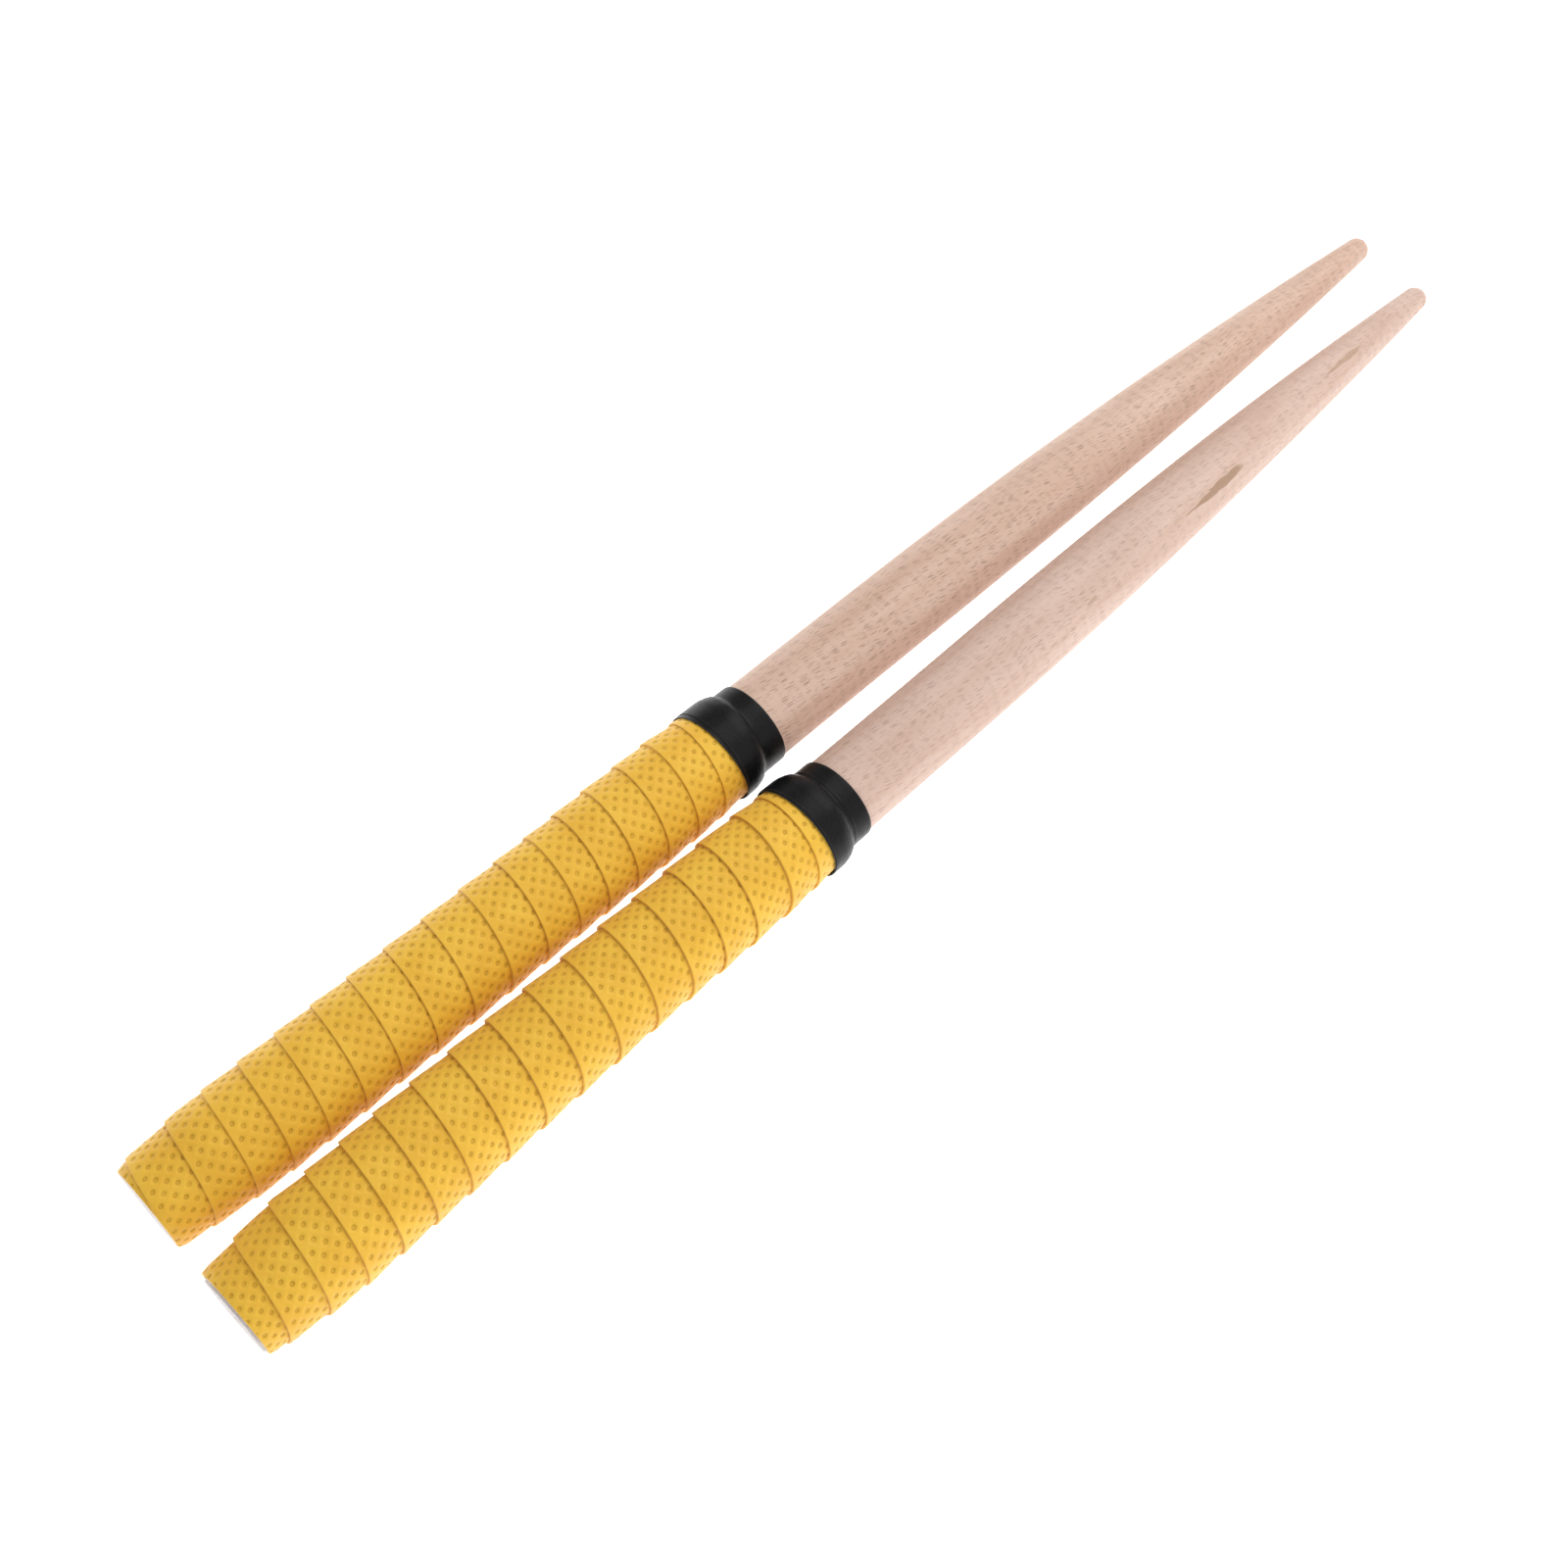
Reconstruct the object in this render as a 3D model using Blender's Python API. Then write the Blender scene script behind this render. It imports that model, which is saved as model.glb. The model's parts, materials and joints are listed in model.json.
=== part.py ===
"""A pair of tapered drum sticks lying side by side, each with a wound grip strip and a finishing tape.

Each stick is built along its own +X axis, from the butt at x = 0 to the tip, on an empty that lays it down.
"""

import math

import bmesh
import bpy
from mathutils import Matrix, Vector

# Driving dimensions, in metres.
STICK_LENGTH = 0.400
SHAFT_RADIUS = 0.010
# The butt's bevel and slight back taper, as (x, depth below the full radius).
BUTT_SHAPE = ((0.0, 0.0012), (0.002, 0.00045), (0.015, 0.0))
TAPER_START = 0.218
TAPER_ARC_RADIUS = 2.405
NOSE_LENGTH = 0.0032
SIDES = 24

PATCH_WIDTH = 0.0126
PATCH_START = 0.0022
PATCH_TURN = 0.28
PATCH_THICKNESS = 0.00012
PATCH_GAP = 0.00004

STRIP_WIDTH = 0.025
STRIP_PITCH = 0.0092
STRIP_TURNS = 17.25
STRIP_BASE_GAP = 0.0002
LAYER_GAP = 0.00005
STEP_TURN = 0.12
# How much of its thickness the strip keeps under the finishing tape, as (x from the strip's end, share).
PRESSED = ((-0.0180, 1.0), (-0.0080, 0.68), (-0.0032, 0.74), (-0.0010, 0.52), (0.0, 0.2))

TAPE_WIDTH = 0.013
TAPE_THICKNESS = 0.00012
TAPE_TURNS = 2.125
TAPE_WANDER = 0.0004
TAPE_GAP = 0.00006
TAPE_STEP = 0.0005

# Placement of the pair: the butts are further apart than the tips.
BUTT_SPACING = 0.0278
V_ANGLE = math.radians(0.94)
BUTT_STAGGER = -0.0006

# Angles are measured about +X from +Y towards +Z. Both strips wind left-handed towards the tip, and the one
# on stick A is pulled tighter, which leaves it thinner.
STICKS = {
    "a": {"side": 1, "strip_angle": 123.5, "strip_thickness": 0.00050, "strip_end": 0.1590,
          "tape_angle": 345.0, "tape_start": 0.1512},
    "b": {"side": -1, "strip_angle": 2.0, "strip_thickness": 0.00062, "strip_end": 0.1605,
          "tape_angle": 10.0, "tape_start": 0.1528},
}

BEECH = ("beech", (0.78, 0.56, 0.43), 0.55)
ADHESIVE = ("adhesive", (0.85, 0.84, 0.78), 0.4)
YELLOW_STRIP = ("yellow_strip", (0.86, 0.46, 0.06), 0.6)
BLACK_TAPE = ("black_tape", (0.018, 0.018, 0.02), 0.3)


def clear_scene():
    for thing in list(bpy.data.objects):
        bpy.data.objects.remove(thing)


def make_material(name, colour, roughness):
    material = bpy.data.materials.new(name)
    material.use_nodes = True
    shader = material.node_tree.nodes["Principled BSDF"]
    shader.inputs["Base Color"].default_value = (*colour, 1.0)
    shader.inputs["Roughness"].default_value = roughness
    shader.inputs["Metallic"].default_value = 0.0
    return material


def add_object(name, bm, look, parent):
    """Turns a bmesh into an object with its own material, shaded smooth except at its sharp edges."""
    bmesh.ops.remove_doubles(bm, verts=bm.verts, dist=1e-6)
    bmesh.ops.triangulate(bm, faces=[face for face in bm.faces if len(face.verts) == 4])
    bmesh.ops.recalc_face_normals(bm, faces=bm.faces)
    mesh = bpy.data.meshes.new(name)
    bm.to_mesh(mesh)
    bm.free()
    label, colour, roughness = look
    mesh.materials.append(make_material(f"{label}_{name}", colour, roughness))
    mesh.shade_smooth()
    mesh.set_sharp_from_angle(angle=math.radians(40))
    thing = bpy.data.objects.new(name, mesh)
    bpy.context.scene.collection.objects.link(thing)
    thing.parent = parent
    return thing


def facet_angle(angle_deg):
    """The nearest corner of the shared polygon, which has a flat side at the bottom."""
    step = 360 / SIDES
    return math.radians(round((angle_deg - step / 2) / step) * step + step / 2)


def on_stick(x, radius, angle):
    return Vector((x, radius * math.cos(angle), radius * math.sin(angle)))


def taper_radius(x):
    """Straight up to the start of the taper, then a long shallow arc."""
    run = max(0.0, x - TAPER_START)
    return SHAFT_RADIUS - run * run / (2 * TAPER_ARC_RADIUS)


def between(knots, x):
    """The value at x on the line that joins (x, value) knots, held beyond the first and the last."""
    value = knots[0][1]
    for (low, low_value), (high, high_value) in zip(knots, knots[1:]):
        run = min(max((x - low) / (high - low), 0.0), 1.0)
        value += (high_value - low_value) * run
    return value


def shaft_profile():
    """(x, radius) points from the butt's flat face to the tip."""
    points = [(x, SHAFT_RADIUS - depth) for x, depth in BUTT_SHAPE]
    nose_start = STICK_LENGTH - NOSE_LENGTH
    taper_steps = 9
    for step in range(taper_steps + 1):
        x = TAPER_START + (nose_start - TAPER_START) * step / taper_steps
        points.append((x, taper_radius(x)))
    nose_radius = taper_radius(nose_start)
    nose_steps = 4
    for step in range(1, nose_steps + 1):
        turn = math.pi / 2 * step / nose_steps
        points.append((nose_start + NOSE_LENGTH * math.sin(turn), nose_radius * math.cos(turn)))
    return points


def build_shaft(name, parent):
    """One turned piece: its profile spun about the stick's axis, with a flat butt."""
    bm = bmesh.new()
    first_angle = facet_angle(0)
    profile = [bm.verts.new(on_stick(x, radius, first_angle)) for x, radius in shaft_profile()]
    edges = [bm.edges.new(pair) for pair in zip(profile, profile[1:])]
    bmesh.ops.spin(bm, geom=profile + edges, cent=(0, 0, 0), axis=(1, 0, 0),
                   angle=2 * math.pi, steps=SIDES, use_duplicate=False)
    bmesh.ops.remove_doubles(bm, verts=bm.verts, dist=1e-6)
    rim = [edge for edge in bm.edges if edge.is_boundary]
    bmesh.ops.contextual_create(bm, geom=rim)
    return add_object(name, bm, BEECH, parent)


def wind_band(bm, start_deg, turns, layout):
    """Winds a strip left-handed about the axis as one closed solid.

    layout(turn) gives the line across the strip, as (x, inner radius, thickness) points.
    """
    first = facet_angle(start_deg)
    rings = []
    for step in range(round(turns * SIDES) + 1):
        turn = step / SIDES
        angle = first - 2 * math.pi * turn
        line = layout(turn)
        inner = [on_stick(x, radius, angle) for x, radius, _ in line]
        outer = [on_stick(x, radius + thick, angle) for x, radius, thick in reversed(line)]
        rings.append([bm.verts.new(point) for point in inner + outer])
    for before, after in zip(rings, rings[1:]):
        for here in range(len(before)):
            there = (here + 1) % len(before)
            bm.faces.new((before[here], before[there], after[there], after[here]))
    for ring in (rings[0], rings[-1]):
        bm.faces.new(ring)


def stairs(turn):
    """Layers already wound beneath the strip: one more each turn, gained in a short climb at its end."""
    whole = math.floor(turn)
    climb = (turn - whole - (1 - STEP_TURN)) / STEP_TURN
    return whole + max(0.0, climb)


def kept_share(x, facts):
    """How much of its thickness the strip keeps at x."""
    return between(PRESSED, x - facts["strip_end"])


def strip_layout(facts):
    """The strip lies on the shaft at its leading edge and on its own earlier turns behind it."""
    thickness, end = facts["strip_thickness"], facts["strip_end"]
    bends = [x for x, _ in BUTT_SHAPE] + [end + x for x, _ in PRESSED]

    def layout(turn):
        free_lead = STRIP_WIDTH + STRIP_PITCH * (turn - 1)
        trail = max(0.0, STRIP_PITCH * (turn - 1))
        lead = min(free_lead, end)
        beneath = stairs(turn)
        kink = free_lead - STRIP_PITCH * beneath
        line = []
        for x in sorted(min(max(spot, trail), lead) for spot in (trail, kink, lead, *bends)):
            layers = min((free_lead - x) / STRIP_PITCH, beneath)
            kept = kept_share(x, facts)
            base = SHAFT_RADIUS - between(BUTT_SHAPE, x) + STRIP_BASE_GAP
            line.append((x, base + layers * (thickness + LAYER_GAP) * kept, thickness * kept))
        return line

    return layout


def strip_top(x, facts):
    """The outside radius of the finished winding where its last turn ends highest."""
    free_lead = STRIP_WIDTH + STRIP_PITCH * (STRIP_TURNS - 1)
    layers = (free_lead - x) / STRIP_PITCH
    height = layers * (facts["strip_thickness"] + LAYER_GAP) + facts["strip_thickness"]
    return SHAFT_RADIUS + STRIP_BASE_GAP + height * kept_share(x, facts)


def tape_layout(facts):
    """The finishing tape covers the end of the strip and steps down onto the bare shaft."""
    end = facts["strip_end"]
    foot = end + TAPE_GAP + TAPE_STEP

    def layout(turn):
        low = facts["tape_start"] + TAPE_WANDER * math.sin(2 * math.pi * turn / TAPE_TURNS)
        lift = TAPE_GAP + turn * (TAPE_THICKNESS + LAYER_GAP)
        spots = [(x, strip_top(x, facts)) for x in (low, *(end + x for x, _ in PRESSED[2:-1]))]
        spots.append((end + TAPE_GAP, strip_top(end, facts)))
        spots += [(foot, SHAFT_RADIUS), (low + TAPE_WIDTH, SHAFT_RADIUS)]
        return [(x, radius + lift, TAPE_THICKNESS) for x, radius in spots]

    return layout


def patch_layout(_turn):
    ends = (PATCH_START, PATCH_START + PATCH_WIDTH)
    return [(x, SHAFT_RADIUS - between(BUTT_SHAPE, x) + PATCH_GAP, PATCH_THICKNESS) for x in ends]


def build_band(name, look, parent, start_deg, turns, layout):
    bm = bmesh.new()
    wind_band(bm, start_deg, turns, layout)
    return add_object(name, bm, look, parent)


def resting_pose(facts):
    """(axis height at the butt, nose-down angle) of a stick that lies on its grip's last ridge and its shaft.

    The floor is the line that touches the grip's last ridge and is tangent to the taper's arc.
    """
    ridge_x = facts["strip_end"] + PRESSED[0][0]
    ridge_radius = strip_ridge_radius(facts["strip_thickness"]) * math.cos(math.pi / SIDES)
    shaft_radius = SHAFT_RADIUS * math.cos(math.pi / SIDES)
    arc = 2 * TAPER_ARC_RADIUS
    reach = ridge_x - TAPER_START
    touch = reach + math.sqrt(reach * reach + arc * (ridge_radius - shaft_radius))
    slope = 2 * touch / arc
    pitch = math.atan(slope)
    return (ridge_radius + slope * ridge_x) * math.cos(pitch), pitch


def strip_ridge_radius(thickness):
    layers = STRIP_WIDTH / STRIP_PITCH
    return SHAFT_RADIUS + STRIP_BASE_GAP + layers * (thickness + LAYER_GAP) + thickness


def stick_base(label, facts):
    """An empty at the butt's centre, which carries one stick and lays it down beside the other."""
    height, pitch = resting_pose(facts)
    side = facts["side"]
    middle = STICK_LENGTH / 2
    base = bpy.data.objects.new(f"stick_{label}_base", None)
    bpy.context.scene.collection.objects.link(base)
    stagger = BUTT_STAGGER / 2 if side < 0 else -BUTT_STAGGER / 2
    place = Matrix.Translation((stagger - middle, side * BUTT_SPACING / 2, height))
    base.matrix_world = place @ Matrix.Rotation(-side * V_ANGLE / 2, 4, "Z") @ Matrix.Rotation(pitch, 4, "Y")
    return base


def build_stick(label, facts):
    base = stick_base(label, facts)
    build_shaft(f"shaft_{label}", base)
    build_band(f"starter_patch_{label}", ADHESIVE, base, facts["strip_angle"], PATCH_TURN, patch_layout)
    layout = strip_layout(facts)
    build_band(f"grip_strip_{label}", YELLOW_STRIP, base, facts["strip_angle"], STRIP_TURNS, layout)
    layout = tape_layout(facts)
    build_band(f"finishing_tape_{label}", BLACK_TAPE, base, facts["tape_angle"], TAPE_TURNS, layout)
    return base


def set_on_origin(bases):
    """Moves the pair so that the middle of its footprint is the origin and its lowest point is at z = 0."""
    bpy.context.view_layer.update()
    pieces = [thing for thing in bpy.data.objects if thing.type == "MESH"]
    points = [piece.matrix_world @ vertex.co for piece in pieces for vertex in piece.data.vertices]
    low = Vector(min(point[axis] for point in points) for axis in range(3))
    high = Vector(max(point[axis] for point in points) for axis in range(3))
    middle = (low + high) / 2
    for base in bases:
        base.location -= Vector((middle.x, middle.y, low.z))


def main():
    clear_scene()
    set_on_origin([build_stick(label, facts) for label, facts in STICKS.items()])


main()
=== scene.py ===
"""Two tapered beech drum sticks with wound grip strips and black finishing tape, on a pale floor."""

import json
import math

import bmesh
import bpy
import numpy as np
from mathutils import Matrix, Vector, noise
from mathutils.geometry import delaunay_2d_cdt


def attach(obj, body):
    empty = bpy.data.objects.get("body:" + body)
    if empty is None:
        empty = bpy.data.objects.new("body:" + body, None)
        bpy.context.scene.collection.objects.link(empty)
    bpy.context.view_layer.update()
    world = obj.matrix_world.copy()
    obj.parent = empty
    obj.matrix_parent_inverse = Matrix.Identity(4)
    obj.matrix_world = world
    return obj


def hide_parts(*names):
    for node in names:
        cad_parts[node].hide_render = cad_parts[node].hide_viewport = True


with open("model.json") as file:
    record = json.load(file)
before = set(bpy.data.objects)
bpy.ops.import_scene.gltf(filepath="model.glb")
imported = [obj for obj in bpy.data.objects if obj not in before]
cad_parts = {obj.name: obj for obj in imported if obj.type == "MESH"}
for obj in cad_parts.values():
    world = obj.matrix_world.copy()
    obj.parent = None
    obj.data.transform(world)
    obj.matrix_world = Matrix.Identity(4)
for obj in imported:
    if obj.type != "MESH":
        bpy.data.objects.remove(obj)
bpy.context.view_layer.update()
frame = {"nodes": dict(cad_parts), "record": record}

MM = 0.001

# The shaft, with the CAD part's length, radius and taper.
STICK_LENGTH = 400 * MM
SHAFT_RADIUS = 10 * MM
# How far the bevelled butt lies below the full radius, as (x, depth).
BUTT_SHAPE = ((0.0, 1.2 * MM), (0.6 * MM, 0.92 * MM), (2.2 * MM, 0.6 * MM), (15 * MM, 0.0))
TAPER_START = 218 * MM
TAPER_ARC_RADIUS = 2405 * MM
NOSE_LENGTH = 3.2 * MM
SHAFT_SIDES = 128
FIRST_EVEN_RING = 18 * MM
SHAFT_RINGS = 88
NOSE_RINGS = 12

# The grip strip and how it is wound. Across the strip, v runs from its leading edge to its trailing edge.
STRIP_WIDTH = 25 * MM
STRIP_PITCH = 9.11 * MM
STRIP_BASE_GAP = 0.2 * MM
LAYER_GAP = 0.05 * MM
# The part of a turn over which the strip climbs onto its earlier turns.
STEP_TURN = 0.12
# How much of its thickness the strip keeps under the finishing tape, as (x from the strip's end, share).
PRESSED = ((-18 * MM, 1.0), (-8 * MM, 0.68), (-3.2 * MM, 0.74), (-2.2 * MM, 0.69), (-1.2 * MM, 0.56),
           (-0.5 * MM, 0.39), (0.0, 0.18))
# The flat strip's length for one turn, at its outer face.
TURN_LENGTH = 76 * MM
EDGE_ROUNDING = 0.26 * MM
# The rows that round off the trailing edge, as (share of its width, drop in thicknesses, painted shade).
EDGE_ROWS = ((0.2, 0.0, 0.0), (0.6, 0.04, 0.3), (0.87, 0.15, 0.8), (1.0, 0.36, 1.0))
# Over this length from the butt the winding is even and the strip's first edge is drawn in.
BUTT_REACH = 8 * MM
STRIP_UNEVENNESS = 0.07 * MM
# The unevenness of strip and tape comes from noise on a cylinder of this radius in millimetres.
NOISE_RADIUS = 12
EDGE_LIFT = 0.06 * MM

# The dimples lie in staggered rows along the strip.
DOT_SPACING = 3.55 * MM
DOT_ROW = 1.6 * MM
DOT_RIM = 0.66 * MM
DOT_FLOOR = 0.47 * MM
DOT_DEPTH = 0.15 * MM
DOT_SIDES = 10
DOT_ROWS = 8
FIRST_DOT = 1.6 * MM
# How dark the painted shade in the middle of a dimple is, next to its rim.
DOT_MIDDLE_SHADE = 0.35
COVERED_STEP = 2.4 * MM

# The finishing tape. Its rim curls down and is lightened by a painted highlight, over the two rim lengths.
TAPE_WIDTH = 13 * MM
TAPE_THICKNESS = 0.13 * MM
TAPE_TURNS = 2.125
TAPE_STEPS = 132
TAPE_ROWS = 84
TAPE_STEP = 0.35 * MM
TAPE_SETTLING = 0.05 * MM
TAPE_CURL = 0.03 * MM
CURL_LENGTH = 0.25 * MM
RIM_HIGHLIGHT_LENGTH = 0.12 * MM
FOLD_WIDTH = 0.22 * MM
PLEAT_HEIGHT = 0.12 * MM
PLEAT_REACH = 1.2 * MM
PLEAT_BASE = 0.03 * MM
PATH_SMOOTHING = 0.15

# Angles are in degrees about the stick's axis, from its +Y side towards its top. The strip's start is how far
# its first edge lies from the butt face. The strays are where the winding runs ahead of its steady pitch, as
# (lead, middle turn, spread in turns). The path is where the tape's trailing edge lies, as (turn, x in
# millimetres). The slant is how far the strip's end leans forward at an angle. The folds are small ridges
# of tape, as (distance beyond the strip's end, height). The bend is how far the stick's middle bows sideways,
# as the sizes of its first three waves.
STICKS = {
    "a": {"strip_angle": 123.5, "turns": 17.6, "thickness": 0.50 * MM, "strip_end": 159.2 * MM,
          "strip_start": 0.0, "slant": (0.95 * MM, 20), "tape_angle": 345.0, "seed": 3.0,
          "folds": ((0.45 * MM, 0.10 * MM),),
          "strays": ((3.2 * MM, 11.3, 2.3), (1.2 * MM, 15.5, 1.6), (0.7 * MM, 2.5, 1.2)),
          "path": ((0.0, 152.2), (0.4, 152.9), (0.66, 150.6), (0.9, 150.3), (1.4, 152.8), (1.66, 151.6),
                   (1.9, 152.0), (2.2, 151.8)),
          "bend": (1.05 * MM, -0.25 * MM, -0.18 * MM), "flecks": 0.62, "ring_lines": 0.10,
          "wood": ((0.625, 0.425, 0.325, 1), (0.705, 0.505, 0.405, 1))},
    "b": {"strip_angle": 2.0, "turns": 17.2, "thickness": 0.62 * MM, "strip_end": 160.6 * MM,
          "strip_start": 0.5 * MM, "slant": (0.2 * MM, 20), "tape_angle": 10.0, "seed": 11.0,
          "folds": ((0.45 * MM, 0.10 * MM), (1.35 * MM, 0.07 * MM)),
          "strays": ((-1.4 * MM, 6.2, 1.9), (5.4 * MM, 13.2, 3.0), (5.6 * MM, 16.3, 1.5)),
          "path": ((0.0, 153.0), (0.4, 154.3), (0.7, 152.8), (0.95, 152.7), (1.4, 154.0), (1.7, 153.4),
                   (1.95, 153.2), (2.2, 153.4)),
          "bend": (-0.2 * MM, 0.05 * MM, 0.23 * MM), "flecks": 0.42, "ring_lines": 0.15,
          "wood": ((0.62, 0.44, 0.36, 1), (0.69, 0.515, 0.435, 1))},
}

# Streaks in the wood, as (centre, reach, wander, strength, colour), on the unrolled surface in millimetres.
MARKS = {
    "a": [],
    "b": [
        ((297.0, 22.3), (12.5, 1.45), 0.25, 0.85, (0.36, 0.215, 0.13, 1)),
        ((357.5, 18.3), (9.0, 1.2), 0.3, 0.65, (0.40, 0.25, 0.155, 1)),
        ((247.0, 22.4), (2.0, 0.5), 0.2, 0.6, (0.42, 0.27, 0.18, 1)),
    ],
}

# The camera's place in metres, its turns in degrees and its lens in millimetres.
CAMERA_PLACE = (-0.2046, -0.1085, 0.3978)
CAMERA_HEADING = 32.90
CAMERA_DOWN = 63.06
CAMERA_ROLL = 13.93
CAMERA_LENS = 44.05

FLOOR_SIZE = 6.0
FLOOR_GREY = 0.3
FLOOR_GLOW = 1.6
SKY_STRENGTH = 0.57
# The lights, as (name, place, target, size, power).
LIGHTS = (("key", (0.6, 0.05, 0.7), (0.05, 0, 0), 0.9, 5.0),
          ("fill", (0.3, -0.8, 0.6), (0.05, 0, 0), 0.9, 1.8))


# ---------------------------------------------------------------- camera, floor and light


def add_camera():
    data = bpy.data.cameras.new("camera")
    data.lens = CAMERA_LENS
    data.sensor_width = 36
    data.clip_start = 0.01
    camera = bpy.data.objects.new("camera", data)
    bpy.context.scene.collection.objects.link(camera)
    turned = (Matrix.Rotation(math.radians(CAMERA_HEADING - 90), 4, "Z")
              @ Matrix.Rotation(math.radians(90 - CAMERA_DOWN), 4, "X")
              @ Matrix.Rotation(math.radians(CAMERA_ROLL), 4, "Z"))
    camera.matrix_world = Matrix.Translation(CAMERA_PLACE) @ turned
    bpy.context.scene.camera = camera


def add_floor():
    bpy.ops.mesh.primitive_plane_add(size=FLOOR_SIZE, location=(0, 0, 0))
    floor = bpy.context.object
    floor.name = "floor"
    material = bpy.data.materials.new("pale_floor")
    material.use_nodes = True
    shader = material.node_tree.nodes["Principled BSDF"]
    shader.inputs["Base Color"].default_value = (FLOOR_GREY, FLOOR_GREY, FLOOR_GREY, 1)
    shader.inputs["Roughness"].default_value = 0.8
    shader.inputs["Emission Color"].default_value = (1, 1, 1, 1)
    shader.inputs["Emission Strength"].default_value = FLOOR_GLOW
    floor.data.materials.append(material)


def add_area_light(name, place, target, size, power):
    data = bpy.data.lights.new(name, "AREA")
    data.shape = "DISK"
    data.size = size
    data.energy = power
    light = bpy.data.objects.new(name, data)
    bpy.context.scene.collection.objects.link(light)
    light.location = place
    light.rotation_euler = (Vector(target) - Vector(place)).to_track_quat("-Z", "Y").to_euler()


def add_studio_light():
    world = bpy.data.worlds.new("studio")
    world.use_nodes = True
    background = world.node_tree.nodes["Background"]
    background.inputs["Color"].default_value = (1, 1, 1, 1)
    background.inputs["Strength"].default_value = SKY_STRENGTH
    bpy.context.scene.world = world
    bpy.context.scene.view_settings.view_transform = "Standard"
    for light in LIGHTS:
        add_area_light(*light)


# ---------------------------------------------------------------- nodes


class Tree:
    """A short way to add shader nodes: each call adds one node and links or sets its inputs."""

    def __init__(self, name):
        self.material = bpy.data.materials.new(name)
        self.material.use_nodes = True
        self.nodes = self.material.node_tree.nodes
        self.links = self.material.node_tree.links
        self.shader = self.nodes["Principled BSDF"]

    def plug(self, socket, value):
        if isinstance(value, bpy.types.NodeSocket):
            self.links.new(value, socket)
        else:
            socket.default_value = value

    def add(self, kind, inputs=(), **settings):
        node = self.nodes.new(kind)
        for key, value in settings.items():
            setattr(node, key, value)
        for key, value in dict(inputs).items():
            self.plug(node.inputs[key], value)
        return node

    def attribute(self, name, output="Vector"):
        return self.add("ShaderNodeAttribute", attribute_name=name).outputs[output]

    def math(self, operation, a, b=0.0):
        return self.add("ShaderNodeMath", {0: a, 1: b}, operation=operation).outputs[0]

    def scaled(self, vector, factors):
        """The vector with each part times its factor."""
        return self.add("ShaderNodeVectorMath", {0: vector, 1: factors}, operation="MULTIPLY").outputs[0]

    def moved(self, vector, offset):
        """The vector plus an offset, which is another vector or a socket."""
        return self.add("ShaderNodeVectorMath", {0: vector, 1: offset}, operation="ADD").outputs[0]

    def noise(self, vector, scale=1.0, detail=2.0, roughness=0.5):
        inputs = {"Vector": vector, "Scale": scale, "Detail": detail, "Roughness": roughness}
        return self.add("ShaderNodeTexNoise", inputs).outputs["Fac"]

    def span(self, value, low, high, to_low=0.0, to_high=1.0):
        """The value mapped smoothly from low..high to to_low..to_high, and held beyond."""
        inputs = {0: value, 1: low, 2: high, 3: to_low, 4: to_high}
        return self.add("ShaderNodeMapRange", inputs, interpolation_type="SMOOTHSTEP").outputs[0]

    def mix(self, share, first, second):
        node = self.nodes.new("ShaderNodeMix")
        node.data_type = "RGBA"
        for index, value in ((0, share), (6, first), (7, second)):
            self.plug(node.inputs[index], value)
        return node.outputs[2]

    def bump(self, height, distance, strength=1.0):
        inputs = {"Height": height, "Distance": distance, "Strength": strength}
        return self.add("ShaderNodeBump", inputs).outputs[0]

    def finish(self, **sockets):
        for key, value in sockets.items():
            self.plug(self.shader.inputs[key.replace("_", " ")], value)
        return self.material


# ---------------------------------------------------------------- materials


RING_COLOUR = (0.62, 0.385, 0.27, 1)
LINE_COLOUR = (0.50, 0.31, 0.22, 1)
FIBRE_COLOUR = (0.60, 0.36, 0.25, 1)
FLECK_COLOUR = (0.25, 0.13, 0.09, 1)
END_GRAIN = ((0.66, 0.62, 0.62, 1), (0.50, 0.45, 0.44, 1))
END_RING_COLOUR = (0.50, 0.42, 0.38, 1)
YELLOW = ((0.80, 0.44, 0.032, 1), (0.86, 0.51, 0.046, 1))
YELLOW_GRAIN = (0.90, 0.56, 0.09, 1)
# Painted shade in the dimples of the grip strip.
YELLOW_PIT_SHADE = (0.54, 0.29, 0.014, 1)
# Painted shade along the strip's trailing edges, where the step down to the turn beneath lies.
YELLOW_EDGE_SHADE = (0.60, 0.37, 0.024, 1)
BLACK = ((0.005, 0.005, 0.0055, 1), (0.010, 0.010, 0.011, 1))
# Painted highlight along the finishing tape's curled rims.
BLACK_RIM_HIGHLIGHT = (0.06, 0.06, 0.063, 1)
FILM = ((0.80, 0.79, 0.72, 1), (0.88, 0.87, 0.82, 1))


def millimetres(tree, name):
    """A place that the mesh stores: in the stick's frame, on its unrolled surface or on the flat strip."""
    return tree.scaled(tree.attribute(name), (1000, 1000, 1000))


def smudge(tree, centre, reach, wander):
    """1 inside a streak about centre, wider towards its tip end. Lengths are in millimetres, unrolled."""
    place = millimetres(tree, "stick_wrap")
    strayed = tree.noise(tree.scaled(place, (0.25, 0.9, 1.0)), 1.0, 2.0)
    spread = tree.add("ShaderNodeCombineXYZ", {1: tree.span(strayed, 0.3, 0.7, -wander, wander)}).outputs[0]
    offset = tree.moved(tree.moved(place, (-centre[0], -centre[1], 0)), spread)
    along, beside, _ = tree.add("ShaderNodeSeparateXYZ", {0: offset}).outputs
    along = tree.math("DIVIDE", along, reach[0])
    beside = tree.math("DIVIDE", beside, tree.span(along, -1.0, 1.0, 0.4 * reach[1], 1.3 * reach[1]))
    length = tree.math("SQRT", tree.math("ADD", tree.math("MULTIPLY", along, along),
                                         tree.math("MULTIPLY", beside, beside)))
    return tree.span(length, 0.8, 1.1, 1.0, 0.0)


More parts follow.
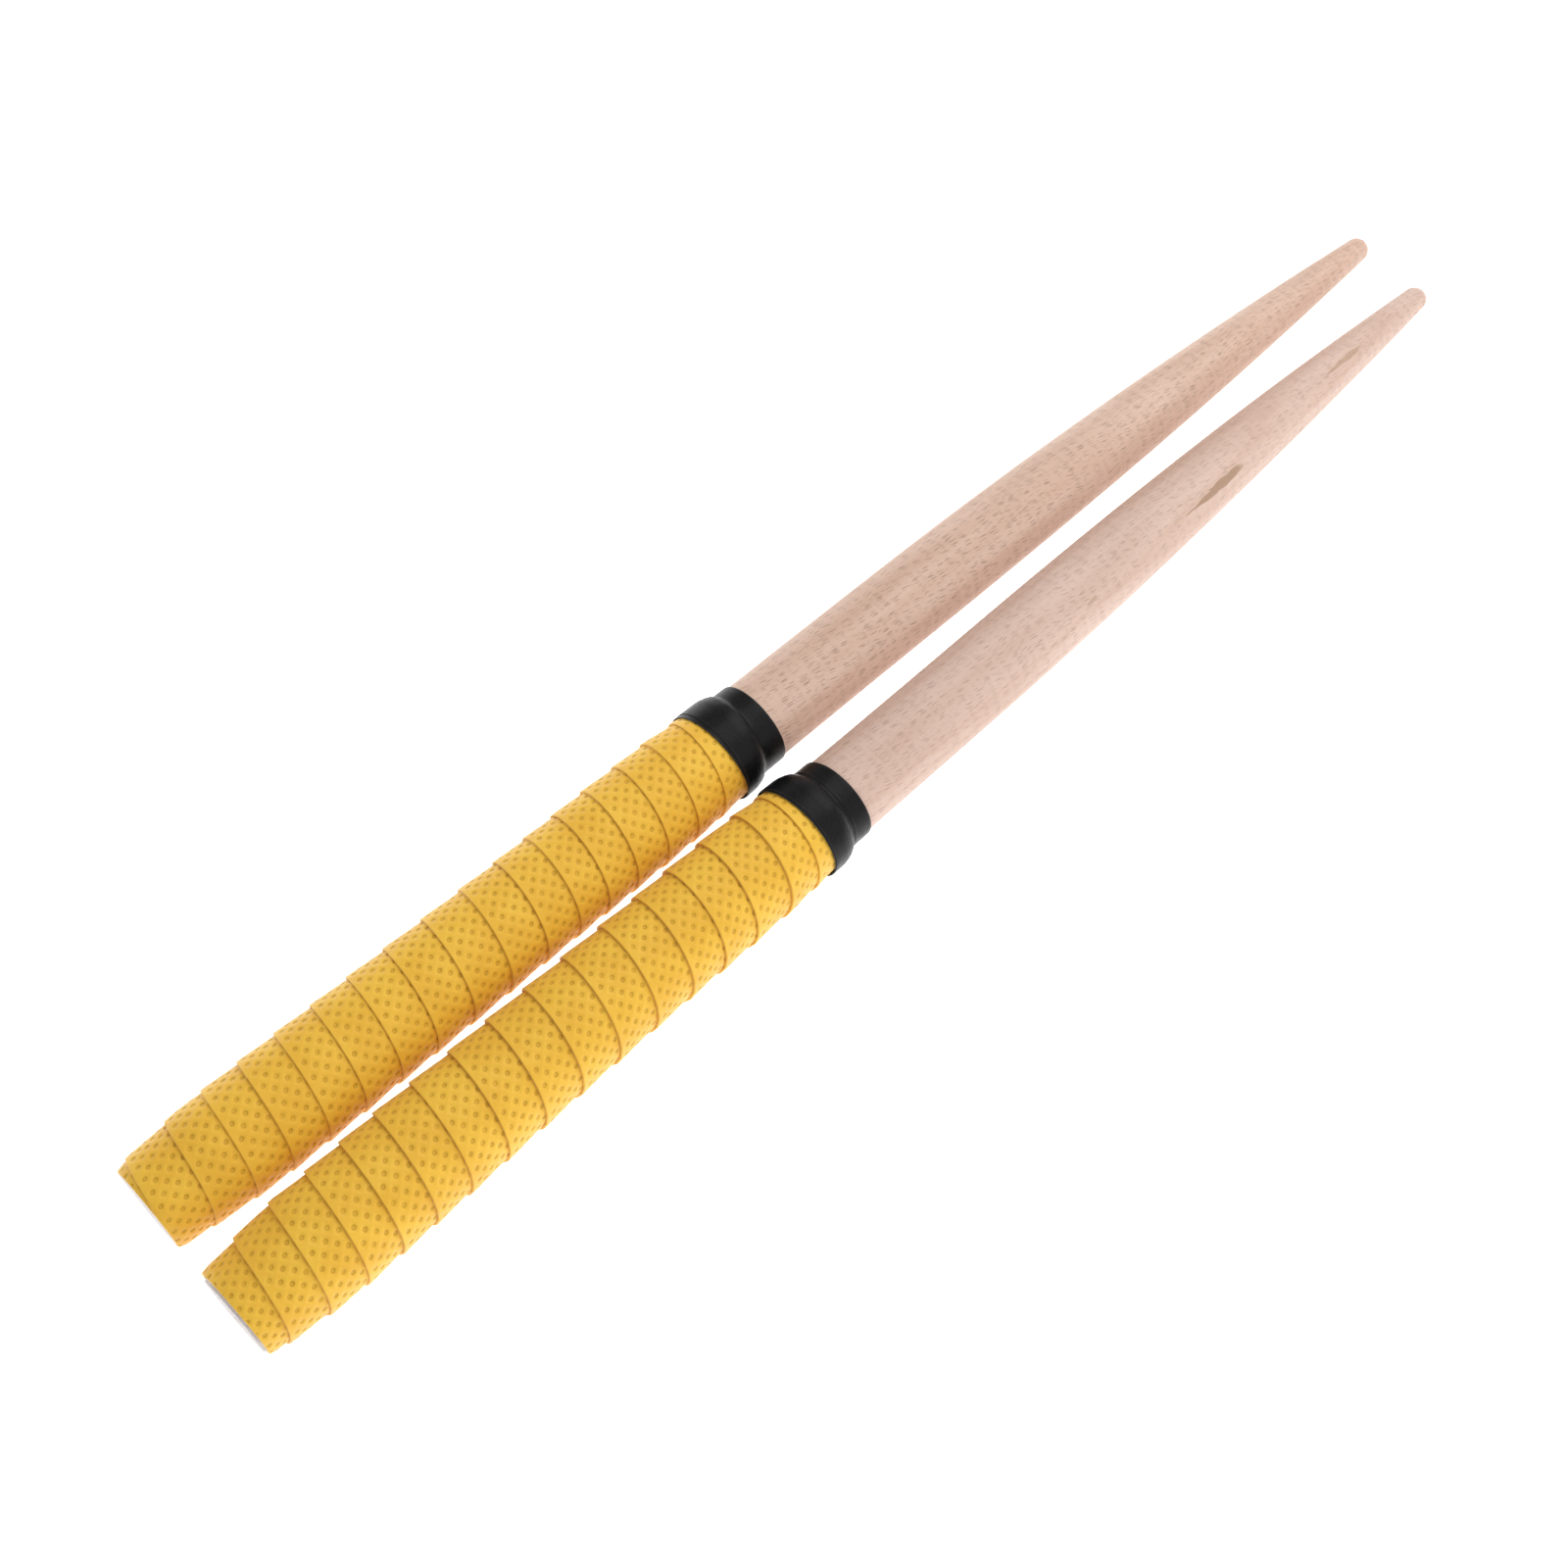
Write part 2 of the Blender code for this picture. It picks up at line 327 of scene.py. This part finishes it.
def beech(label, facts, marks):
    """Pale sanded beech: soft growth rings, fine fibres along the grain and short dark ray flecks."""
    tree = Tree(f"beech_{label}")
    raw = millimetres(tree, "stick_pos")
    place = tree.moved(raw, (facts["seed"] * 37.0, 0, 0))
    bend = tree.noise(tree.scaled(place, (0.012, 0.05, 0.05)), 1.0, 2.0)
    parts = tree.add("ShaderNodeSeparateXYZ", {0: place}).outputs
    across = tree.math("ADD", parts[1], tree.span(bend, 0.2, 0.8, -7.0, 7.0))
    depth = tree.math("ADD", parts[2], 24.0 + facts["seed"])
    radius = tree.math("SQRT", tree.math("ADD", tree.math("MULTIPLY", across, across),
                                         tree.math("MULTIPLY", depth, depth)))
    wave = tree.math("SINE", tree.math("MULTIPLY", radius, 2.1))
    ring = tree.span(wave, -0.6, 1.0)
    line = tree.span(wave, 0.7, 1.0)
    cloud = tree.noise(tree.scaled(place, (0.03, 0.22, 0.22)), 1.0, 3.0)
    fibre = tree.noise(tree.scaled(place, (0.22, 5.0, 5.0)), 1.0, 3.0, 0.6)
    colour = tree.mix(tree.span(cloud, 0.25, 0.75), *facts["wood"])
    colour = tree.mix(tree.math("MULTIPLY", ring, 0.12), colour, RING_COLOUR)
    colour = tree.mix(tree.math("MULTIPLY", line, facts["ring_lines"]), colour, LINE_COLOUR)
    colour = tree.mix(tree.span(fibre, 0.35, 0.75, 0.0, 0.2), colour, FIBRE_COLOUR)
    flecks = fleck_mask(tree, facts["seed"], (0.28, 2.4), 0.36, 0.55)
    small = fleck_mask(tree, facts["seed"] + 50, (0.5, 3.4), 0.36, 0.65)
    dark = tree.math("MAXIMUM", flecks, tree.math("MULTIPLY", small, 0.7))
    colour = tree.mix(tree.math("MULTIPLY", dark, facts["flecks"]), colour, FLECK_COLOUR)
    for centre, reach, wander, strength, shade in marks:
        spot = smudge(tree, centre, reach, wander)
        colour = tree.mix(tree.math("MULTIPLY", spot, strength), colour, shade)
    butt = tree.span(tree.add("ShaderNodeSeparateXYZ", {0: raw}).outputs[0], 0.5, 0.9, 1.0, 0.0)
    pores = tree.noise(tree.scaled(raw, (1.0, 7.0, 7.0)), 1.0, 2.0)
    end_grain = tree.mix(tree.span(pores, 0.35, 0.7), *END_GRAIN)
    end_grain = tree.mix(tree.math("MULTIPLY", ring, 0.3), end_grain, END_RING_COLOUR)
    colour = tree.mix(butt, colour, end_grain)
    rough = tree.span(fibre, 0.3, 0.8, 0.48, 0.66)
    height = tree.math("SUBTRACT", tree.math("MULTIPLY", fibre, 0.6), dark)
    normal = tree.bump(height, 0.00006, 0.7)
    return tree.finish(Base_Color=colour, Roughness=rough, Normal=normal, Specular_IOR_Level=0.35)


def fleck_mask(tree, seed, squash, width, chance):
    """1 on short dashes along the grain, which are the ends of the wood's rays."""
    place = tree.moved(millimetres(tree, "stick_wrap"), (seed * 37.0, seed * 11.0, 0))
    along = tree.add("ShaderNodeSeparateXYZ", {0: place}).outputs[0]
    drift = tree.noise(tree.scaled(place, (0.05, 0.004, 1.0)), 1.0, 1.0)
    lean = tree.math("ADD", tree.span(drift, 0.2, 0.8, -0.9, 0.9), tree.math("MULTIPLY", along, -0.15))
    slope = tree.add("ShaderNodeCombineXYZ", {1: lean}).outputs[0]
    inputs = {"Vector": tree.scaled(tree.moved(place, slope), (*squash, 1.0)), "Scale": 1.0}
    cells = tree.add("ShaderNodeTexVoronoi", inputs, feature="F1", voronoi_dimensions="2D")
    picked = tree.add("ShaderNodeSeparateColor", {0: cells.outputs["Color"]}).outputs
    near = tree.span(cells.outputs["Distance"], width * 0.5, width, 1.0, 0.0)
    chosen = tree.math("GREATER_THAN", picked[0], chance)
    strength = tree.span(picked[1], 0.0, 1.0, 0.35, 1.0)
    return tree.math("MULTIPLY", tree.math("MULTIPLY", near, chosen), strength)


def yellow_strip(label, seed):
    """Tacky yellow polyurethane: painted shade in the dimples and at the trailing edges, soft mottling and a
    fine leather grain.
    """
    tree = Tree(f"yellow_strip_{label}")
    place = tree.moved(millimetres(tree, "stick_pos"), (seed * 31.0, 0, 0))
    flat = millimetres(tree, "strip_flat")
    pit_shade = tree.attribute("pit_shade", "Fac")
    edge = tree.attribute("edge", "Fac")
    cloud = tree.noise(tree.scaled(place, (0.12, 0.12, 0.12)), 1.0, 3.0)
    grain = tree.noise(flat, 4.5, 3.0, 0.6)
    colour = tree.mix(tree.span(cloud, 0.3, 0.7), *YELLOW)
    colour = tree.mix(tree.span(grain, 0.4, 0.75, 0.0, 0.25), colour, YELLOW_GRAIN)
    uneven = tree.span(tree.noise(flat, 0.45, 1.0), 0.3, 0.7, 0.55, 1.0)
    # Painted shade in the dimples, stronger in some places than in others.
    colour = tree.mix(tree.math("MULTIPLY", pit_shade, uneven), colour, YELLOW_PIT_SHADE)
    # Painted shade along the strip's trailing edges.
    colour = tree.mix(tree.math("MULTIPLY", edge, 0.15), colour, YELLOW_EDGE_SHADE)
    rough = tree.span(grain, 0.3, 0.8, 0.5, 0.7)
    normal = tree.bump(grain, 0.00004, 0.6)
    return tree.finish(Base_Color=colour, Roughness=rough, Normal=normal, Specular_IOR_Level=0.3,
                       Sheen_Weight=0.22, Sheen_Roughness=0.4)


def black_tape(label, seed):
    """Stretched black vinyl: soft gloss, fine stretch lines round the stick and a few dulled patches."""
    tree = Tree(f"black_tape_{label}")
    place = tree.moved(millimetres(tree, "stick_pos"), (seed * 29.0, 0, 0))
    lines = tree.noise(tree.scaled(place, (3.5, 0.35, 0.35)), 1.0, 3.0, 0.6)
    dust = tree.noise(place, 1.4, 4.0, 0.7)
    edge = tree.attribute("edge", "Fac")
    colour = tree.mix(tree.span(dust, 0.4, 0.8), *BLACK)
    # Painted highlight along the tape's curled rims.
    colour = tree.mix(tree.math("MULTIPLY", edge, 0.7), colour, BLACK_RIM_HIGHLIGHT)
    rough = tree.span(dust, 0.3, 0.75, 0.28, 0.44)
    normal = tree.bump(lines, 0.00012, 0.5)
    return tree.finish(Base_Color=colour, Roughness=rough, Normal=normal, Specular_IOR_Level=0.12)


def adhesive_film():
    tree = Tree("adhesive_film")
    place = tree.scaled(tree.add("ShaderNodeTexCoord").outputs["Object"], (1000, 1000, 1000))
    weave = tree.noise(place, 2.0, 3.0)
    colour = tree.mix(tree.span(weave, 0.3, 0.7), *FILM)
    rough = tree.span(weave, 0.3, 0.7, 0.35, 0.5)
    return tree.finish(Base_Color=colour, Roughness=rough, Normal=tree.bump(weave, 0.00003))


# ---------------------------------------------------------------- pieces


def stick_matrix(label):
    """The stick's own frame: +X from the middle of its butt face to its tip, +Y level."""
    mount = next(m for m in frame["record"]["mounts"] if m["name"] == f"butt_face_{label}")
    along = -Vector(mount["axis"]).normalized()
    level = Vector((0, 0, 1)).cross(along).normalized()
    turned = Matrix((along, level, along.cross(level))).transposed().to_4x4()
    return Matrix.Translation(mount["pos_m"]) @ turned


def round_points(x, radius, angle):
    """Points in the stick's frame from arrays of x, radius and angle."""
    return np.stack([x + 0 * angle, radius * np.cos(angle), radius * np.sin(angle)], -1)


def bent(points, bend):
    """The points moved sideways, as the stick's slight bow takes them."""
    along = np.pi * points[:, 0] / STICK_LENGTH
    sideways = sum(size * np.sin((wave + 1) * along) for wave, size in enumerate(bend))
    return points + np.outer(sideways, (0, 1, 0))


def add_piece(name, label, points, faces, material, node, floats=None, vectors=None):
    """A mesh from points in the stick's frame, which rides on its stick and stands for a CAD node."""
    mesh = bpy.data.meshes.new(name)
    place = np.array(stick_matrix(label))
    placed = bent(points, STICKS[label]["bend"]) @ place[:3, :3].T + place[:3, 3]
    mesh.from_pydata(placed.tolist(), [], faces)
    for key, values in {"stick_pos": points, **(vectors or {})}.items():
        layer = mesh.attributes.new(key, "FLOAT_VECTOR", "POINT")
        layer.data.foreach_set("vector", np.asarray(values, np.float32).ravel())
    for key, values in (floats or {}).items():
        layer = mesh.attributes.new(key, "FLOAT", "POINT")
        layer.data.foreach_set("value", np.asarray(values, np.float32))
    mesh.materials.append(material)
    mesh.shade_smooth()
    piece = bpy.data.objects.new(name, mesh)
    bpy.context.scene.collection.objects.link(piece)
    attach(piece, f"stick_{label}")
    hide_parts(node)
    return piece


def loop_noise(values, seed, scale):
    """Smooth noise between about -1 and 1 for each row of an array of points."""
    offset = Vector((seed * 7.3, seed * 3.1, seed * 5.7))
    return np.array([noise.noise(Vector(row) * scale + offset) for row in values])


def shaft_profile():
    """(x, radius) of each ring, between the middle of the butt face and the tip."""
    points = [(0.0, (SHAFT_RADIUS - BUTT_SHAPE[0][1]) * share) for share in (0.3, 0.6, 0.85)]
    points += [(x, SHAFT_RADIUS - depth) for x, depth in BUTT_SHAPE]
    nose_start = STICK_LENGTH - NOSE_LENGTH
    for x in np.linspace(FIRST_EVEN_RING, nose_start, SHAFT_RINGS):
        points.append((x, taper_radius(x)))
    for turn in np.linspace(0, math.pi / 2, NOSE_RINGS)[1:-1]:
        points.append((nose_start + NOSE_LENGTH * math.sin(turn), taper_radius(nose_start) * math.cos(turn)))
    return points


def taper_radius(x):
    run = max(0.0, x - TAPER_START)
    return SHAFT_RADIUS - run * run / (2 * TAPER_ARC_RADIUS)


def grid_faces(rows, columns, wrap):
    """Quads over a grid of points, joined round where wrap is true."""
    last = columns if wrap else columns - 1
    return [(r * columns + c, r * columns + (c + 1) % columns,
             (r + 1) * columns + (c + 1) % columns, (r + 1) * columns + c)
            for r in range(rows - 1) for c in range(last)]


def add_shaft(label, material):
    profile = np.array(shaft_profile())
    angles = np.linspace(0, 2 * math.pi, SHAFT_SIDES, endpoint=False)
    points = round_points(profile[:, :1], profile[:, 1:], angles[None, :]).reshape(-1, 3)
    points = np.concatenate([points, [(0, 0, 0), (STICK_LENGTH, 0, 0)]])
    rows = len(profile)
    faces = grid_faces(rows, SHAFT_SIDES, True)
    butt, tip, last = len(points) - 2, len(points) - 1, (rows - 1) * SHAFT_SIDES
    for side in range(SHAFT_SIDES):
        after = (side + 1) % SHAFT_SIDES
        faces.append((butt, after, side))
        faces.append((tip, last + side, last + after))
    turned = np.tile(angles, rows)
    wrap = np.stack([points[:-2, 0], SHAFT_RADIUS * turned, 0 * turned], -1)
    wrap = np.concatenate([wrap, points[-2:] * (1, 0, 0)])
    add_piece(f"beech_shaft_{label}", label, points, faces, material, f"shaft_{label}",
              vectors={"stick_wrap": wrap})


def stairs(turn):
    whole = np.floor(turn)
    return whole + np.clip((turn - whole - (1 - STEP_TURN)) / STEP_TURN, 0, 1)


def between(knots, x):
    """The values at x on the line that joins (x, value) knots, held beyond the first and the last."""
    return np.interp(x, *zip(*knots))


def strip_end(angle, facts):
    size, towards = facts["slant"]
    return facts["strip_end"] + size * np.cos(angle - math.radians(towards))


def strip_lead(turn, facts):
    """Where the leading edge is: a steady pitch, with the unevenness of winding by hand."""
    strayed = sum(lead * np.exp(-((turn - middle) / spread) ** 2) for lead, middle, spread in facts["strays"])
    return STRIP_WIDTH + STRIP_PITCH * (turn - 1) + strayed * np.clip(turn - 1, 0, 1)


def layers_beneath(turn, v, facts):
    """How many earlier turns lie under a point that is v behind the leading edge."""
    back = v / STRIP_PITCH
    for _ in range(4):
        error = strip_lead(turn, facts) - strip_lead(turn - back, facts) - v
        back = back - error / STRIP_PITCH
    return np.minimum(back, stairs(turn))


def cell_corners():
    """The hexagon round each dot, which tiles the strip in staggered rows."""
    half = DOT_SPACING / 2
    limit = (half * half + DOT_ROW * DOT_ROW) / 2
    wide, narrow = limit / half, (limit - DOT_ROW * DOT_ROW) / half
    flat = ((wide, 0), (narrow, DOT_ROW), (-narrow, DOT_ROW),
            (-wide, 0), (-narrow, -DOT_ROW), (narrow, -DOT_ROW))
    return [(s, v, 0.0, 0.0) for s, v in flat]


def dot_cell():
    """One cell of the dot lattice with its dimple: points as (s, v, z, pit) and triangles."""
    points = cell_corners()
    # The last number of each ring is the painted shade it gets.
    for radius, depth, pit_shade in ((DOT_RIM, 0.0, 0.0), (DOT_FLOOR, 0.85 * DOT_DEPTH, 1.0)):
        for step in range(DOT_SIDES):
            turn = 2 * math.pi * (step + 0.5) / DOT_SIDES
            points.append((radius * math.cos(turn), radius * math.sin(turn), -depth, pit_shade))
    points.append((0, 0, -DOT_DEPTH, DOT_MIDDLE_SHADE))
    return points, delaunay_2d_cdt([Vector(point[:2]) for point in points], [], [], 0, 1e-9)[2]


def tiled(cell, faces, rows, length):
    """Copies of a cell along the given rows of the lattice."""
    shifts = np.array([(DOT_SPACING * (i + 0.5 * (row % 2)), STRIP_WIDTH - FIRST_DOT - DOT_ROW * row, 0, 0)
                       for row in rows for i in range(-1, math.ceil(length / DOT_SPACING) + 2)])
    starts = len(cell) * np.arange(len(shifts))
    return ((np.array(cell)[None] + shifts[:, None]).reshape(-1, 4),
            (np.array(faces)[None] + starts[:, None, None]).reshape(-1, 3))


def dot_lattice(length):
    """The dimpled zone of the flat strip, with a plain row nearest the trailing edge."""
    dimpled, first = tiled(*dot_cell(), range(DOT_ROWS), length)
    plain, second = tiled(cell_corners(), [(0, i, i + 1) for i in range(1, 5)], [-1], length)
    points = np.concatenate([dimpled, plain])
    triangles = np.concatenate([first, second + len(dimpled)])
    keys = np.round(points[:, :2] / (0.001 * MM)).astype(np.int64)
    _, kept, index = np.unique(keys, axis=0, return_index=True, return_inverse=True)
    return points[kept], index.reshape(-1)[triangles]


def cut(bm, place, normal):
    """Cuts the flat strip along a line and drops the side that the normal points to."""
    everything = bm.verts[:] + bm.edges[:] + bm.faces[:]
    bmesh.ops.bisect_plane(bm, geom=everything, dist=1e-8, plane_co=place, plane_no=normal, clear_outer=True)


def fill_outline(bm, edges, spots, depth):
    """Fills the area inside a loop of edges with triangles, by way of extra spots inside it."""
    verts = list(dict.fromkeys(vert for edge in edges for vert in edge.verts))
    index = {vert: i for i, vert in enumerate(verts)}
    pairs = [(index[edge.verts[0]], index[edge.verts[1]]) for edge in edges]
    verts += [bm.verts.new((s, v, depth)) for s, v in spots]
    made = delaunay_2d_cdt([vert.co.xy for vert in verts], pairs, [], 1, 1e-9)
    for face in made[2]:
        bm.faces.new([verts[made[3][corner][0]] for corner in face])


def fill_covered(bm, length, bottom):
    """The part of the strip that later turns cover is smooth, from the dimpled zone to the leading edge."""
    edges = [e for e in bm.edges if e.is_boundary and all(abs(v.co.y - bottom) < 1e-7 for v in e.verts)]
    corners = [v for e in edges for v in e.verts]
    columns = np.linspace(0, length, round(length / COVERED_STEP) + 1)
    chain = [min(corners, key=lambda v: v.co.x)]
    chain += [bm.verts.new((s, 0.0, 0.0)) for s in columns]
    chain.append(max(corners, key=lambda v: v.co.x))
    edges += [bm.edges.new(pair) for pair in zip(chain, chain[1:])]
    fill_outline(bm, edges, [(s, v) for s in columns[1:-1] for v in (bottom / 3, bottom * 2 / 3)], 0.0)


def round_trailing_edge(bm, top, thickness, pit_shade, edge):
    """Adds narrow rows along the trailing edge that curve down, and gives them painted shade in the edge
    attribute.
    """
    def on_rim(vert):
        line = top - STRIP_PITCH + STRIP_PITCH * vert.co.x / TURN_LENGTH
        return abs(vert.co.y - min(top, line)) < 1e-6

    rim = [e for e in bm.edges if e.is_boundary and all(on_rim(v) for v in e.verts)]
    done = 0.0
    for share, drop, dark in EDGE_ROWS:
        made = set(bmesh.ops.extrude_edge_only(bm, edges=rim)["geom"])
        for vert in made:
            if isinstance(vert, bmesh.types.BMVert):
                vert.co.y += (share - done) * EDGE_ROUNDING
                vert.co.z = -drop * thickness
                # Each row gets its painted shade, and the dimple shade is cleared.
                vert[edge], vert[pit_shade] = dark, 0.0
        rim = [e for e in bm.edges if e.is_boundary and e.verts[0] in made and e.verts[1] in made]
        done = share


def flat_strip(facts):
    """The whole strip laid flat and closed: x along it, y across it from the leading edge, z its depth."""
    length = facts["turns"] * TURN_LENGTH
    points, triangles = dot_lattice(length)
    mesh = bpy.data.meshes.new("flat_strip")
    mesh.from_pydata(points[:, :3].tolist(), [], triangles.tolist())
    mesh.attributes.new("pit_shade", "FLOAT", "POINT").data.foreach_set("value", points[:, 3].astype(np.float32))
    mesh.attributes.new("edge", "FLOAT", "POINT")
    bm = bmesh.new()
    bm.from_mesh(mesh)
    bpy.data.meshes.remove(mesh)
    pit_shade, edge = bm.verts.layers.float["pit_shade"], bm.verts.layers.float["edge"]
    top = STRIP_WIDTH - EDGE_ROUNDING
    bottom = STRIP_WIDTH - FIRST_DOT - DOT_ROW * (DOT_ROWS - 1) + 0.1 * MM
    cut(bm, (0, 0, 0), (-1, 0, 0))
    cut(bm, (length, 0, 0), (1, 0, 0))
    cut(bm, (0, bottom, 0), (0, -1, 0))
    cut(bm, (0, top, 0), (0, 1, 0))
    cut(bm, (0, top - STRIP_PITCH, 0), (-STRIP_PITCH, TURN_LENGTH, 0))
    fill_covered(bm, length, bottom)
    beyond = float(strip_lead(np.array(facts["turns"]), facts)) - facts["strip_end"]
    reach = beyond / STRIP_PITCH * TURN_LENGTH
    cut(bm, (length, beyond, 0), (beyond, -reach, 0))
    thickness = facts["thickness"]
    round_trailing_edge(bm, top, thickness, pit_shade, edge)
    made = bmesh.ops.extrude_edge_only(bm, edges=[e for e in bm.edges if e.is_boundary])["geom"]
    for vert in made:
        if isinstance(vert, bmesh.types.BMVert):
            vert.co.z = -thickness
    spots = [(s, v) for s in np.arange(TURN_LENGTH, length - 3 * TURN_LENGTH, COVERED_STEP)
             for v in (STRIP_WIDTH / 3, STRIP_WIDTH * 2 / 3)]
    fill_outline(bm, [e for e in bm.edges if e.is_boundary], spots, -thickness)
    bmesh.ops.recalc_face_normals(bm, faces=bm.faces)
    return bm


def add_grip_strip(label, facts, material):
    """The flat strip wound left-handed from the butt, each turn lying on the ones before it."""
    bm = flat_strip(facts)
    seed = facts["seed"]
    pit_shade, edge = bm.verts.layers.float["pit_shade"], bm.verts.layers.float["edge"]
    flat = np.array([vert.co for vert in bm.verts])
    pit_shades = [vert[pit_shade] for vert in bm.verts]
    edges = [vert[edge] for vert in bm.verts]
    bm.verts.index_update()
    faces = [tuple(vert.index for vert in face.verts) for face in bm.faces]
    bm.free()
    turn = flat[:, 0] / TURN_LENGTH
    angle = math.radians(facts["strip_angle"]) - 2 * math.pi * turn
    end = strip_end(angle, facts)
    x = np.clip(strip_lead(turn, facts) - flat[:, 1], 0.0, end)
    x += facts["strip_start"] * np.clip(1 - x / BUTT_REACH, 0, 1)
    kept = between(PRESSED, x - end)
    height = layers_beneath(turn, flat[:, 1], facts) * (facts["thickness"] + LAYER_GAP)
    uneven = loop_noise(round_points(x, NOISE_RADIUS * MM, angle) / MM, seed, 0.11) * STRIP_UNEVENNESS
    lifted = np.clip(flat[:, 1] / STRIP_WIDTH * 6 - 5, 0, 1)
    uneven += lifted * loop_noise(flat / MM * (1, 0, 0), seed + 5, 0.09) * EDGE_LIFT
    floor = SHAFT_RADIUS - between(BUTT_SHAPE, x) + STRIP_BASE_GAP
    radius = floor + (height + facts["thickness"] + flat[:, 2]) * kept
    radius += uneven * np.clip(x / BUTT_REACH, 0.2, 1)
    points = round_points(x, radius, angle)
    piece = add_piece(f"wound_strip_{label}", label, points, faces, material, f"grip_strip_{label}",
                      {"pit_shade": pit_shades, "edge": edges}, {"strip_flat": flat})


def tape_base(x, angle, facts):
    """The radius of what the tape lies on: the pressed end of the strip, a short step and the bare shaft."""
    free_lead = strip_lead(np.array(facts["turns"]), facts)
    end = strip_end(angle, facts)
    layers = np.clip((free_lead - x) / STRIP_PITCH, 0, STRIP_WIDTH / STRIP_PITCH)
    winding = layers * (facts["thickness"] + LAYER_GAP) + facts["thickness"]
    on_strip = winding * between(PRESSED, x - end) + STRIP_BASE_GAP
    return SHAFT_RADIUS + on_strip * (1 - np.clip((x - end) / TAPE_STEP, 0, 1))


def rim_loop(rows, columns):
    """The points round the outside of a grid, in order."""
    last = columns - 1
    corner = (rows - 1) * columns
    return [*range(columns), *range(columns + last, rows * columns, columns),
            *range(corner + last - 1, corner - 1, -1), *range(corner - columns, 0, -columns)]


def add_finishing_tape(label, facts, material):
    """Just over two turns of tape, drawn down over the strip's end with small pleats and folds."""
    seed = facts["seed"]
    steps, rows = round(TAPE_TURNS * TAPE_STEPS) + 1, TAPE_ROWS
    turn = np.repeat(np.linspace(0, TAPE_TURNS, steps), rows)
    across = np.tile(np.linspace(0, 1, rows), steps)
    angle = math.radians(facts["tape_angle"]) - 2 * math.pi * turn
    nearby = np.linspace(-PATH_SMOOTHING, PATH_SMOOTHING, 7)
    low = np.mean([between(facts["path"], turn + shift) for shift in nearby], axis=0) * MM
    x = low + across * TAPE_WIDTH
    base = tape_base(x, angle, facts)
    around = np.stack([NOISE_RADIUS * np.cos(angle), NOISE_RADIUS * np.sin(angle), x / MM * 0.6 + turn], -1)
    ripple = loop_noise(around, seed, 0.35)
    pleats = np.abs(loop_noise(around * (1, 1, 0.5), seed + 2, 0.8))
    past_end = x - strip_end(angle, facts)
    near_end = np.exp(-(past_end / PLEAT_REACH) ** 2)
    lift = TAPE_SETTLING * (1 + ripple) + turn * (TAPE_THICKNESS + LAYER_GAP)
    lift += near_end * (PLEAT_HEIGHT * pleats + PLEAT_BASE)
    for beyond, size in facts["folds"]:
        lift += size * np.exp(-((past_end - beyond) / FOLD_WIDTH) ** 2)
    rim = np.minimum(across, 1 - across) * TAPE_WIDTH
    inner = base + lift
    outer = inner + TAPE_THICKNESS - TAPE_CURL * np.exp(-rim / CURL_LENGTH)
    points = np.concatenate([round_points(x, outer, angle), round_points(x, inner, angle)])
    count = steps * rows
    top = grid_faces(steps, rows, False)
    faces = top + [tuple(i + count for i in face[::-1]) for face in top]
    loop = rim_loop(steps, rows)
    for here, after in zip(loop, loop[1:] + loop[:1]):
        faces.append((here, here + count, after + count, after))
    # A painted highlight along both rims of the tape, carried in the edge attribute.
    pale = np.tile(np.exp(-rim / RIM_HIGHLIGHT_LENGTH), 2)
    piece = add_piece(f"vinyl_tape_{label}", label, points, faces, material,
                      f"finishing_tape_{label}", {"edge": pale})


add_camera()
add_floor()
add_studio_light()
film = adhesive_film()
for label, facts in STICKS.items():
    add_shaft(label, beech(label, facts, MARKS[label]))
    add_grip_strip(label, facts, yellow_strip(label, facts["seed"]))
    add_finishing_tape(label, facts, black_tape(label, facts["seed"]))
    patch = frame["nodes"][f"starter_patch_{label}"]
    patch.data.materials.clear()
    patch.data.materials.append(film)
